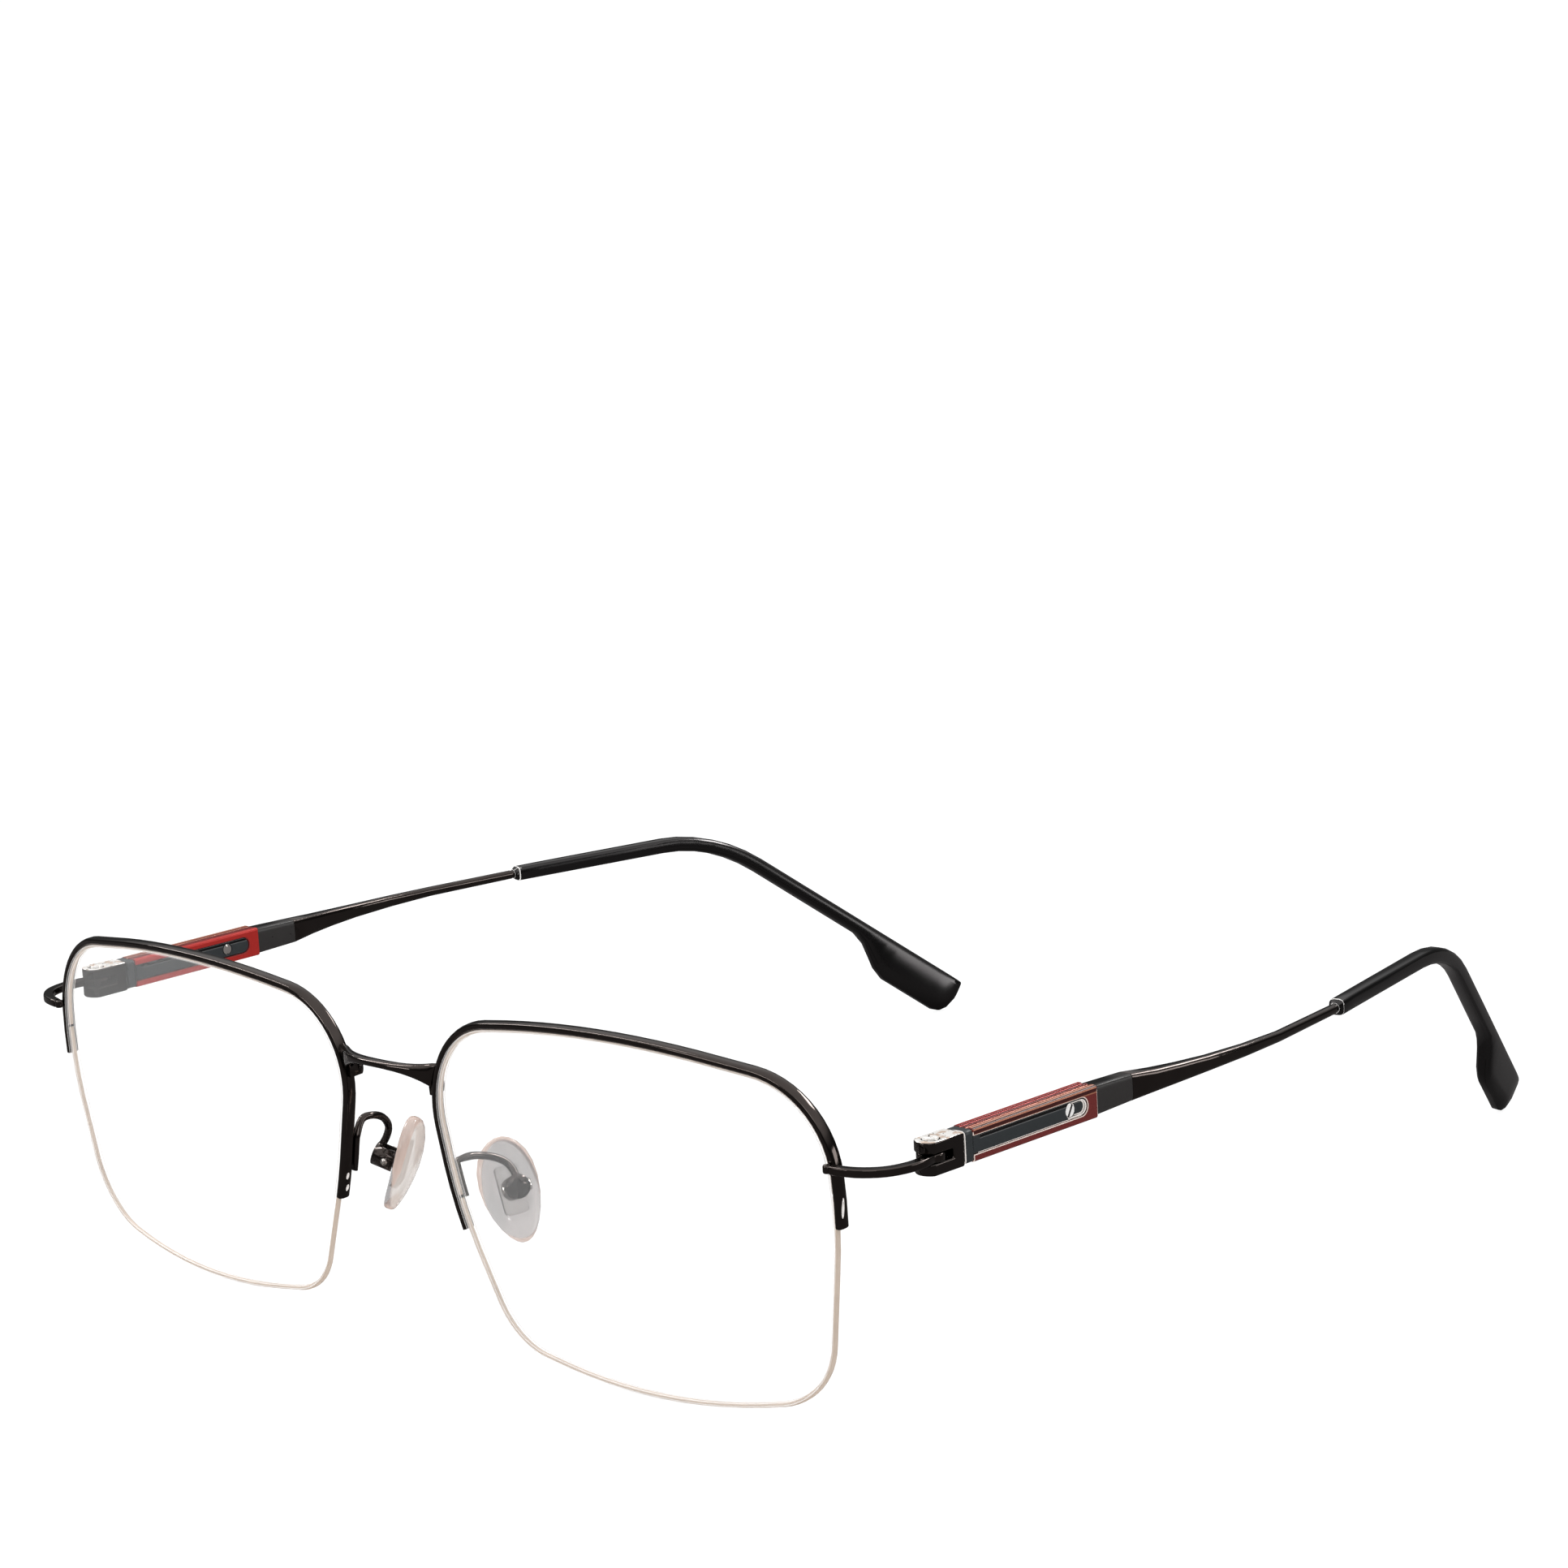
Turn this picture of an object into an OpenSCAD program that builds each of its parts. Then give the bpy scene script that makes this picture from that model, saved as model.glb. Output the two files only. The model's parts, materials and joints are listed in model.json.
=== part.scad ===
// Half rim eyeglasses, temples open, standing on the lens bottoms and the temple tips.
// +X is to the right of someone who faces the glasses, +Y runs back to the ears, +Z is up.
// The origin is the middle of the outer box, on the surface that the glasses stand on.
// All lengths are in millimetres.

/* [Lenses] */
// Width of a lens across its widest part
lens_w = 60.8; // [56:0.2:63]
// Height of a lens
lens_h = 42.7; // [37:0.1:46]
// Distance between the middles of the two lenses
lens_pitch = 77; // [75:0.5:82]
// Thickness of a lens at its edge
lens_t = 1.5; // [1.4:0.1:2.4]
// Radius of the ball that a lens is curved to
lens_curve_r = 180; // [120:10:400]
// How far each lens turns back at its outer side, in degrees
wrap_angle = 3.4; // [0:0.2:6]
// How far the front leans forward at the top, in degrees
lean_angle = 3.5; // [1:0.5:6]

/* [Rim and cords] */
// How far the rim wire stands out from the lens edge
rim_out = 1; // [0.9:0.1:1.6]
// Depth of the rim wire from front to back
rim_depth = 1.6; // [1.5:0.1:2.4]
// Height above the lens middle at which the rim stops on its outer side
rim_end_outer = 2.9; // [0:0.1:6]
// Height above the lens middle at which the rim stops by the nose
rim_end_inner = -5.9; // [-9:0.1:-5]
// Diameter of the nylon cord and of the nylon liner
nylon_d = 0.62; // [0.5:0.02:0.7]
// Length of cord that is tucked into each rim end
cord_tuck = 3.5; // [2:0.5:5]

/* [Bridge and end pieces] */
// Height of the bridge bar above the lens middle
bridge_rise = 13.4; // [9:0.1:15]
// How far the ends of the bridge drop below its middle
bridge_drop = 0.9; // [0:0.1:2]
// Height of the bridge bar at its middle
bridge_h = 0.9; // [0.8:0.05:1.8]
// Height of the flared foot of the bridge
bridge_foot_h = 3.4; // [2.4:0.1:4]
// Depth of the bridge bar from front to back
bridge_depth = 1.4; // [1.2:0.1:2]
// Height of the end piece strip
strip_h = 1; // [0.9:0.05:1.5]
// Thickness of the end piece strip
strip_t = 1.3; // [1.1:0.1:1.9]

/* [Hinges] */
// Distance of a hinge screw from the middle of its lens, across the front
hinge_out = 37; // [36:0.1:37.5]
// Distance of a hinge screw behind the lens middle
hinge_back = 13.4; // [12:0.2:16]
// Outer radius of the hinge ears
ear_r = 1.85; // [1.8:0.05:2.2]
// Height of the hinge block
ear_h = 3.9; // [3.7:0.1:5]
// Diameter of the hinge screw
screw_d = 1.2; // [1:0.05:1.4]
// Diameter of the rod that the spring pulls on
rod_d = 0.9; // [0.7:0.05:1]
// How far the spring lets the temple pull away from the hinge
spring_travel = 1.2; // [0.6:0.1:1.6]
// Tilt of both hinge screws to one side, so that the folded temples lie one over the other
hinge_cant = 1.1; // [0.9:0.1:2]

/* [Temples] */
// Height of the red sleeve
sleeve_h = 3.9; // [3.7:0.1:4.6]
// Width of the red sleeve
sleeve_w = 3; // [2.9:0.1:3.6]
// Distance from the hinge screw to the back end of the sleeve
sleeve_end = 26.7; // [26:0.1:30]
// Distance from the hinge screw to the seam behind the sleeve
block_end = 33.4; // [32:0.1:36]
// Distance from the hinge screw to the start of the temple tip
tip_start = 74.5; // [68:0.5:78]
// Diameter of the temple wire at its thin end
wire_d = 1.15; // [1:0.05:1.5]
// Distance from the hinge screw to the ear bend
bend_at = 108; // [98:0.5:110]
// Radius of the ear bend
bend_r = 24; // [16:1:32]
// Angle of the ear bend, in degrees
bend_angle = 39; // [30:1:42]
// Length of the tip behind the ear bend
tip_drop_len = 46.5; // [44:0.5:56]
// Height of the flat paddle at the end of the tip
paddle_h = 6.2; // [4:0.2:8]
// Thickness of the paddle
paddle_t = 2.6; // [2.2:0.1:3.4]
// Distance from the hinge screw to where the temple bows furthest out
widest_at = 51.5; // [44:0.5:60]
// Radius of that bow, seen from above; the tip runs on straight from it
bow_r = 102; // [90:1:400]
// How far the tip leans in towards the head behind the ear bend, in degrees
tip_lean = 14; // [0:1:30]

/* [Nose pads] */
// Height of a nose pad
pad_h = 13; // [11:0.5:15]
// Width of a nose pad
pad_w = 7.4; // [6:0.2:8.4]
// Thickness of a nose pad
pad_t = 2.2; // [2:0.1:2.8]
// Diameter of the wire of a pad arm
arm_d = 0.95; // [0.85:0.05:1.2]
// Diameter of the small box that holds a pad
box_d = 3; // [2.9:0.1:3.6]
// Diameter of the screw through the pad box
pad_screw_d = 0.9; // [0.8:0.05:1]

/* [Hidden] */
$fn = 48;

// Clearances
fit = 0.03;              // between pieces of one body that touch
run = 0.05;              // radial, round a pin or rod that turns or slides
hinge_gap = 0.05;        // above and below the hinge tongue

// Lens outline: corner points of the photo's lens, each with its corner radius, for the
// right lens, seen from the front and counted from its outer side anticlockwise
outline_w = 60.8;
outline_h = 42.7;
outline_corners = [[31.5, 3, 50], [30.3, 18.1, 12.5], [-1.5, 22.3, 128], [-31.8, 17.8, 11],
  [-27.4, -3.5, 58], [-20.8, -19.5, 9], [4.5, -23.2, 94], [27.8, -18.3, 10.5]];
corner_step = 6;         // degrees between points round a corner
run_step = 3;            // millimetres between points along a long curve

function unit(a) = a / norm(a);
function at(list, i) = list[(i + len(list)) % len(list)];
function mix(a, b, k) = a * (1 - k) + b * k;
function smooth(k) = let (c = min(1, max(0, k))) c * c * (3 - 2 * c);

corner_scale = min(lens_w / outline_w, lens_h / outline_h);
sharp_corners = [for (c = outline_corners)
  [c.x * lens_w / outline_w, c.y * lens_h / outline_h, c[2] * corner_scale]];

// How far corner i turns, how much of its sides its arc takes, and how much of side i is free
function side_of(i) = let (a = at(sharp_corners, i), b = at(sharp_corners, i + 1))
  [b.x - a.x, b.y - a.y];
function turn_at(i) = let (d0 = side_of(i - 1), d1 = side_of(i))
  atan2(d0.x * d1.y - d0.y * d1.x, d0 * d1);
function arc_takes(i) = at(sharp_corners, i)[2] * tan(turn_at(i) / 2);
function room_on(i) = norm(side_of(i)) * 0.998 / (arc_takes(i) + arc_takes(i + 1));
corners = [for (i = [0:len(sharp_corners) - 1]) let (c = sharp_corners[i])
  [c.x, c.y, c[2] * min(1, room_on(i - 1), room_on(i))]];

// One rounded corner: points with their outward normals, [u, v, normal u, normal v]
function corner(i) = let (
    p = [at(corners, i).x, at(corners, i).y],
    before = [at(corners, i - 1).x, at(corners, i - 1).y],
    after = [at(corners, i + 1).x, at(corners, i + 1).y],
    r = at(corners, i)[2],
    d0 = unit(p - before),
    d1 = unit(after - p),
    turn = atan2(d0.x * d1.y - d0.y * d1.x, d0 * d1),
    middle = p - d0 * r * tan(turn / 2) + [-d0.y, d0.x] * r,
    start = atan2(-d0.x, d0.y),
    n = ceil(max(turn / corner_step, r * turn * PI / 180 / run_step)))
  [for (j = [0:n]) let (a = start + turn * j / n)
    [middle.x + r * cos(a), middle.y + r * sin(a), cos(a), sin(a)]];
lens_edge = [for (i = [0:len(corners) - 1]) each corner(i)];

// Height v on one side of an outline: the point where the outline crosses it, with its normal
function cross_on(outline, v, side) = [for (i = [0:len(outline) - 1])
    let (a = outline[i], b = at(outline, i + 1))
    if (side * (a.x + b.x) > 0 && (a.y - v) * (b.y - v) <= 0 && a.y != b.y)
      mix(a, b, (v - a.y) / (b.y - a.y))][0];
function cross_at(v, side) = cross_on(lens_edge, v, side);

// A point of the lens outline moved n outwards and b back, in the front's own frame
function sag(u, v) = lens_curve_r - sqrt(lens_curve_r * lens_curve_r - u * u - v * v);
function on_lens(p, n, b) = let (
    u = p.x + p[2] * n,
    v = p.y + p[3] * n,
    y = sag(u, v) + b)
  [lens_pitch / 2 + u * cos(wrap_angle) - y * sin(wrap_angle),
    u * sin(wrap_angle) + y * cos(wrap_angle), v];

// The front's own frame leans forward and is lifted until the cord touches the surface
function lean(p) = [p.x, p.y * cos(lean_angle) - p.z * sin(lean_angle),
  p.y * sin(lean_angle) + p.z * cos(lean_angle)];
nylon_n = -0.05;         // how far the nylon's middle lies outside the lens edge
cord_out = nylon_n + nylon_d / 2;
lens_z = -min([for (p = lens_edge) lean(on_lens(p, cord_out, 0)).z]);

// Ear bend and tip, seen from the side
tip_top = 1.1;           // the tip's top edge lies this far above its middle line
tip_r = 1.05;            // radius of the tip where it starts
tan_len = bend_r * tan(bend_angle / 2);
bend_len = bend_r * bend_angle * PI / 180;
straight_len = bend_at - tan_len - tip_start;
tip_len = straight_len + bend_len + tip_drop_len - tan_len;
function tip_side(s) = s < straight_len ? [tip_start + s, 0] :
  s < straight_len + bend_len ? let (a = (s - straight_len) / bend_r * 180 / PI)
    [bend_at - tan_len + bend_r * sin(a), bend_r * (cos(a) - 1)] :
  let (k = s - straight_len - bend_len)
    [bend_at + tan_len * cos(bend_angle) + k * cos(bend_angle),
      -tan_len * sin(bend_angle) - k * sin(bend_angle)];
bow_end = (tip_start - block_end) * (tip_start + block_end - 2 * widest_at) / (2 * bow_r);
sweep = atan((tip_start - widest_at) / bow_r);
function inward(t) = t < block_end ? 0 :
  t > tip_start ? bow_end + (t - tip_start) * tan(sweep) :
  (t - block_end) * (t + block_end - 2 * widest_at) / (2 * bow_r);
function tip_spine(s) = let (p = tip_side(s)) [-inward(p.x) + p.y * tan(tip_lean), p.x, p.y];

// Lower edge below the middle line, and half thickness, along the tip
bump_at = tip_len - 19;  // where the paddle starts to widen
bump_end = tip_len - 12; // where it has its full height
function tip_low(s) = mix(tip_r, paddle_h - tip_top, smooth((s - bump_at) / (bump_end - bump_at)));
function tip_half(s) = mix(tip_r, paddle_t / 2, smooth(s / (tip_len * 0.8)));
// Stations along the tip, close together where it bends and where it ends
tip_stations = [0, 0.25, 0.8, 4, 9, straight_len, for (k = [1:6]) straight_len + bend_len * k / 6,
  bump_at - 6, bump_at, bump_at + 2, bump_at + 3.5, bump_at + 5, bump_end,
  tip_len - 8, tip_len - 4, tip_len - 2.6, tip_len - 1.4, tip_len - 0.6, tip_len];
tip_round = 14;          // points round a section of the tip
function tip_ring(s) = let (
    ahead = unit(tip_spine(s + 0.1) - tip_spine(s - 0.1)),
    out = unit([1, 0, 0] - ahead * ahead.x),
    up = cross(out, ahead),
    near = min(1, 0.45 + s / 0.8 * 0.55),
    left = (tip_len - s) / 2.6,
    end_k = left < 1 ? sqrt(max(0.04, 1 - (1 - left) * (1 - left))) : 1,
    low = tip_low(s) * near * (left < 1 ? mix(0.25, 1, end_k) : 1),
    top = (tip_r + (tip_top - tip_r) * smooth(s / 6)) * near,
    half = tip_half(s) * near * (left < 1 ? mix(0.55, 1, end_k) : 1))
  [for (i = [0:tip_round - 1]) let (
      a = 360 * i / tip_round,
      c = cos(a),
      d = sin(a),
      flat = 0.62,
      x = sign(c) * pow(abs(c), flat) * half,
      z = -sign(d) * pow(abs(d), flat))
    tip_spine(s) + out * x + up * (z > 0 ? z * top : z * low)];
tip_rings = [for (s = tip_stations) tip_ring(s)];
tip_lowest = min([for (r = tip_rings) for (p = r) p.z]);
hinge_z = -tip_lowest;

hinge_x = lens_pitch / 2 + hinge_out;

// The box's middle from front to back goes to y = 0
bridge_bow = 1.2;        // how far the bridge's middle stands in front of the lens middle
bridge_front = lean([0, -bridge_bow - bridge_depth / 2, bridge_rise]).y;
tip_back = hinge_back + max([for (r = tip_rings) for (p = r) p.y]);
front_y = -(bridge_front + tip_back) / 2;
hinge_y = front_y + hinge_back;

// Height of the end piece in the front's own frame, and where it meets the rim
strip_v = (hinge_z - lens_z - 0.2) / cos(lean_angle);

function in_rim(p) = p.x > 0 ? p.y > rim_end_outer : p.y > rim_end_inner;
outer_end = cross_at(rim_end_outer, 1);
inner_end = cross_at(rim_end_inner, -1);
rim_path = [outer_end, for (p = lens_edge) if (in_rim(p)) p, inner_end];

// Ends of the cord, tucked up into the rim, and of the liner that starts above them
cord_outer = cross_at(rim_end_outer + cord_tuck, 1);
cord_inner = cross_at(rim_end_inner + cord_tuck, -1);
function below(p, k) = p.x > 0 ? p.y < rim_end_outer + k : p.y < rim_end_inner + k;
liner_gap = 0.4;
liner_outer = cross_at(rim_end_outer + cord_tuck + liner_gap, 1);
liner_inner = cross_at(rim_end_inner + cord_tuck + liner_gap, -1);
liner_path = [liner_outer, for (p = lens_edge) if (!below(p, cord_tuck + liner_gap)) p,
  liner_inner];
above_cord = search(1, [for (p = lens_edge) below(p, cord_tuck) ? 0 : 1])[0];
turned_edge = [for (k = [0:len(lens_edge) - 1]) at(lens_edge, k + above_cord)];
cord_path = [cord_inner, for (p = turned_edge) if (below(p, cord_tuck)) p, cord_outer];

// ---------------------------------------------------------------- shared shapes

// A closed skin over rings of points, capped at both ends
module skin(rings) {
  m = len(rings[0]);
  last = len(rings) - 1;
  polyhedron(
    points = [for (r = rings) each r],
    faces = [
      [for (i = [0:m - 1]) i],
      for (j = [0:last - 1]) for (i = [0:m - 1]) let (
          a = j * m + i,
          b = j * m + (i + 1) % m)
        each [[a, a + m, b + m], [a, b + m, b]],
      [for (i = [m - 1:-1:0]) last * m + i]],
    convexity = 8);
}

// A wire along a path, [x, y, z, half width, half thickness] at each point. The direction
// of its width is carried along from the first point without twisting.
function spot(q) = [q.x, q.y, q.z];
function ahead(path, j) = unit(spot(path[min(len(path) - 1, j + 1)])
  - spot(path[max(0, j - 1)]));
function across(side, way) = unit(side - way * (side * way));
function sides_on(path, first) = [for (j = 0, s = across(first, ahead(path, 0));
    j < len(path);
    j = j + 1, s = across(s, ahead(path, min(j, len(path) - 1)))) s];
module wire(path, first, sides) {
  carried = sides_on(path, first);
  skin([for (j = [0:len(path) - 1]) let (up = cross(ahead(path, j), carried[j]))
    [for (i = [0:sides - 1]) let (q = 360 * (i + 0.5) / sides)
      spot(path[j]) + carried[j] * cos(q) * path[j][3] + up * sin(q) * path[j][4]]]);
}

// A rounded ring round the Y axis at y = t
function oval(t, w, h, squareness, n) = [for (i = [0:n - 1]) let (
    a = 360 * (i + 0.5) / n,
    c = cos(a),
    d = sin(a))
  [sign(c) * pow(abs(c), squareness) * w / 2, t, -sign(d) * pow(abs(d), squareness) * h / 2]];

// Smooth path through a few chosen points, steps on each stretch
function spline(p, steps) = [for (i = [0:len(p) - 2]) let (
      a = p[max(0, i - 1)],
      b = p[i],
      c = p[i + 1],
      d = p[min(len(p) - 1, i + 2)])
    for (j = [0:steps - 1]) let (k = j / steps)
      (2 * b + (c - a) * k + (2 * a - 5 * b + 4 * c - d) * k * k
        + (3 * b - a - 3 * c + d) * k * k * k) / 2,
  p[len(p) - 1]];

module on_side(side) {
  if (side > 0) children();
  else mirror([1, 0, 0]) children();
}

// Puts the front's own frame in place
module front() {
  translate([0, front_y, lens_z]) rotate([lean_angle, 0, 0]) children();
}

// Puts a temple's own frame in place: hinge screw at the origin, +Y back, +X outwards
module temple(side) {
  on_side(side) translate([hinge_x, hinge_y, hinge_z]) children();
}

// The same with +Z along the hinge screw, which leans to the same side on both temples
module hinge(side) {
  temple(side) rotate([0, side * hinge_cant, 0]) children();
}

// A rectangle with round corners
module rounded(w, h, r) {
  square([w - 2 * r, h], center = true);
  square([w, h - 2 * r], center = true);
  for (x = [-1, 1]) for (y = [-1, 1]) translate([x * (w / 2 - r), y * (h / 2 - r)])
    circle(r, $fn = 24);
}

// A round rod along Y from y0 to y1
module rod(y0, y1, d) {
  translate([0, y0, 0]) rotate([-90, 0, 0]) cylinder(h = y1 - y0, d = d);
}

// Extrudes an outline drawn in X and Z from y0 back to y1
module along_y(y0, y1) {
  translate([0, y1, 0]) rotate([90, 0, 0]) linear_extrude(y1 - y0) children();
}

// ---------------------------------------------------------------- front

// Rim wire: a grooved half rim that follows the lens edge, section [outwards, back]
rim_in = 0.08;
channel_half = nylon_d / 2 + fit;
channel_floor = cord_out + fit;
function rim_section() = let (h = rim_depth / 2, e = 0.25, c = 0.12)
  [[rim_in, -h + e], [rim_in + e, -h], [rim_out - e, -h], [rim_out - c, -h + c],
    [rim_out, -h + e * 2], [rim_out, h - e * 2], [rim_out - c, h - c], [rim_out - e, h],
    [rim_in + e, h], [rim_in, h - e], [rim_in, channel_half], [channel_floor, channel_half],
    [channel_floor, -channel_half], [rim_in, -channel_half]];
module rim(side) {
  color("#17110f") on_side(side) front()
    skin([for (p = rim_path) [for (q = rim_section()) on_lens(p, q.x, q.y)]]);
}

// Nylon: a round strand on the lens edge, along a stretch of the outline
nylon_sides = 8;
function nylon_ring(p) = [for (i = [0:nylon_sides - 1]) let (a = 360 * (i + 0.5) / nylon_sides)
  on_lens(p, nylon_n + nylon_d / 2 * cos(a), nylon_d / 2 * sin(a))];
module nylon(side, path) {
  color("#ecd9cd") on_side(side) front() skin([for (p = path) nylon_ring(p)]);
}

// Lens: a curved shell cut to the outline, with a groove round its edge for the nylon
groove_half = nylon_d / 2 + 0.05;
groove_floor = nylon_n - nylon_d / 2 - 0.05;
module lens_layer(n, b0, b1) {
  intersection() {
    along_y(-12, 24) polygon([for (p = lens_edge) [p.x + p[2] * n, p.y + p[3] * n]]);
    translate([0, lens_curve_r, 0]) difference() {
      sphere(r = lens_curve_r - b0, $fn = 200);
      sphere(r = lens_curve_r - b1, $fn = 200);
    }
  }
}
module lens(side) {
  color("#eef6f8", 0.35) on_side(side) front() translate([lens_pitch / 2, 0, 0])
    rotate([0, 0, wrap_angle]) {
      lens_layer(0, -lens_t / 2, -groove_half);
      lens_layer(groove_floor, -groove_half - 0.2, groove_half + 0.2);
      lens_layer(0, groove_half, lens_t / 2);
    }
}

// Bridge: one bar that flares at both ends on to the inner sides of the rims
bridge_round = 12;
rim_gap = 0.05;          // filled with braze where the bridge, pad arms and end pieces meet a rim
rim_outside = [for (p = lens_edge)
  [p.x + p[2] * (rim_out + rim_gap), p.y + p[3] * (rim_out + rim_gap)]];
function bridge_x(v, y) = let (u = cross_on(rim_outside, v, -1).x)
  lens_pitch / 2 + u * cos(wrap_angle) - (y - u * sin(wrap_angle)) * tan(wrap_angle);
bridge_foot_y = on_lens(cross_at(bridge_rise - bridge_drop, -1), rim_out, 0).y;
function bridge_ring(k, side) = let (
    flare = pow(k, 3),
    h = mix(bridge_h, bridge_foot_h, flare) / 2,
    z = bridge_rise - bridge_drop * k * k - flare * 0.35,
    y = mix(-bridge_bow, bridge_foot_y, k * k),
    d = bridge_depth / 2)
  [for (i = [0:bridge_round - 1]) let (
      a = 360 * (i + 0.5) / bridge_round,
      c = cos(a),
      s = sin(a),
      pz = z + sign(s) * pow(abs(s), 0.7) * h,
      py = y + sign(c) * pow(abs(c), 0.7) * d,
      end = bridge_x(pz, py))
    [side * (k == 1 ? end : min(end, k * bridge_x(z, y))), py, pz]];
bridge_steps = [0, 0.2, 0.4, 0.55, 0.68, 0.78, 0.87, 0.94, 1];
tab_t = 0.5;
tab_half = 0.95;
tab_root = 0.45;         // width of the tab beside the rim
tab_below = 1.7;         // the tab's middle lies this far below the end of the bridge bar
module bridge_tab() {
  v = bridge_rise - bridge_drop - tab_below;
  y = on_lens(cross_at(v, -1), 0, max(rim_depth, lens_t) / 2).y + 0.3;
  x0 = min(bridge_x(v - tab_half, y), bridge_x(v + tab_half, y)) - tab_root;
  along_y(y, y + tab_t) {
    translate([x0, v - tab_half]) square([tab_root / 2, 2 * tab_half]);
    translate([x0 + tab_root / 2, v]) scale([0.5, 1]) circle(tab_half);
  }
  translate([x0, y - bridge_depth, v - tab_half])
    cube([tab_root - rim_gap, bridge_depth + tab_t, 2 * tab_half]);
}
module bridge() {
  color("#17110f") front() {
    skin([for (k = [len(bridge_steps) - 1:-1:1]) bridge_ring(bridge_steps[k], -1),
      for (k = bridge_steps) bridge_ring(k, 1)]);
    for (s = [1, -1]) on_side(s) bridge_tab();
  }
}

// End piece: a strip that laps on the rim, bows outwards and ends in the hinge tongue
tongue_r = ear_r - 0.2;
lobe_r = 0.5;
strip_at = cross_at(strip_v, 1);
function strip_start(n, b) = let (q = lean(on_lens(strip_at, n, b)))
  [q.x - hinge_x, q.y + front_y - hinge_y];
module end_piece(side) {
  lobe = strip_start(rim_out / 2, -rim_depth / 2 - lobe_r - 2 * rim_gap);
  root = lobe + [0.4, 0.05];
  path = spline([root, [-2.3, -9.6], [0, -7.6], [1, -5], [1.1, -2.6], [0.7, -0.6]], 4);
  color("#17110f") hinge(side) translate([0, 0, -strip_h / 2]) {
    difference() {
      union() {
        cylinder(h = strip_h, r = tongue_r);
        linear_extrude(strip_h) polygon(concat(
          [for (i = [0:len(path) - 1]) path[i] + strip_side(path, i) * strip_half(i)],
          [for (i = [len(path) - 1:-1:0]) path[i] - strip_side(path, i) * strip_half(i)]));
      }
      translate([0, 0, -1]) cylinder(h = strip_h + 2, d = screw_d + 2 * run);
    }
    translate(lobe) cylinder(h = strip_h, r = lobe_r);
  }
}
function strip_side(path, i) = let (
    a = path[max(0, i - 1)],
    b = path[min(len(path) - 1, i + 1)],
    d = unit(b - a))
  [d.y, -d.x];
function strip_half(i) = mix(lobe_r, strip_t / 2, min(1, i / 4));

// ---------------------------------------------------------------- nose pads

// Puts a pad's own frame in place: +X out of the pad's back, +Y across it, +Z up along it
pad_at = [9.55, 9.4, -4.5];
pad_back = pad_t / 2;
box_at = 2.5;            // the pad's screw lies this far behind the pad's middle
box_front = 0.9;         // from the screw to the front of the box
box_rear = 1.75;         // from the screw to the back of the box
cheek = 1.5;             // half width of the box across its two cheeks
stem_half = 0.5;
stem_r = 0.95;
module pad_frame(side) {
  on_side(side) front() translate(pad_at) rotate([-17, 0, 0]) rotate([0, -17, 0])
    rotate([10, 0, -30]) children();
}
module across_pad(x, y0, y1, d) {
  translate([x, y0, 0]) rotate([-90, 0, 0]) cylinder(h = y1 - y0, d = d);
}

// Pad arm: a flat foot on the back of the rim, a gooseneck of wire and the pad's box
foot_t = 0.7;
foot_w = 1.2;
function foot(v) = let (p = on_lens(cross_at(v, -1), foot_w / 2 + rim_in,
    rim_depth / 2 + foot_t / 2 + rim_gap))
  [p.x, p.y, p.z, foot_w / 2, foot_t / 2];
function neck(x, y, z) = [x, y, z, arm_d / 2, arm_d / 2];
arm_uneven = 1.05;       // the photo's right arm is bent this much lower, its left one higher
function arm_path(low) = concat([foot(-2.5), foot(-1), foot(0.8)], spline([foot(1.7),
  neck(9.5, 3.3, 2.5 - low * 0.8), neck(9.5, 5, 2.35 - low), neck(10, 7, 1.5 - low * 0.9),
  neck(10.7, 8.3, 0.2 - low * 0.6), neck(11.6, 8.5, -1.1 - low * 0.3), neck(12.55, 8.05, -2.3)],
  4));
foot_turn = wrap_angle + asin(cross_at(-1, -1).x / lens_curve_r);
module pad_arm(side) {
  color("#17110f") {
    on_side(side) front() wire(arm_path(side * arm_uneven), [cos(foot_turn), sin(foot_turn), 0], 10);
    pad_frame(side) translate([box_at, 0, 0]) difference() {
      intersection() {
        translate([-box_front, 0, 0]) rotate([0, 90, 0])
          cylinder(h = box_front + box_rear, d = box_d);
        translate([-2, -cheek, -3]) cube([5, 2 * cheek, 6]);
      }
      translate([-2, -stem_half - fit, -3])
        cube([2 + stem_r + run * 2, 2 * (stem_half + fit), 6]);
      across_pad(0, -2, 2, pad_screw_d + 2 * fit);
    }
  }
}

// Pad insert: a plate moulded into the pad's back, with an eye that swings on the screw
plate_floor = 0.25;
plate_top = 0.85;
insert_w = 3;
insert_h = 6;
module pad_insert(side) {
  color("#b8aa9c") pad_frame(side) difference() {
    union() {
      translate([plate_floor + fit, 0, 0]) rotate([0, 90, 0])
        linear_extrude(plate_top - plate_floor) rounded(insert_h, insert_w, 0.6);
      translate([plate_top - 0.1, -stem_half, -stem_r])
        cube([box_at - plate_top + 0.1, 2 * stem_half, 2 * stem_r]);
      across_pad(box_at, -stem_half, stem_half, 2 * stem_r);
    }
    across_pad(box_at, -2, 2, pad_screw_d + 2 * run);
  }
}

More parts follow.
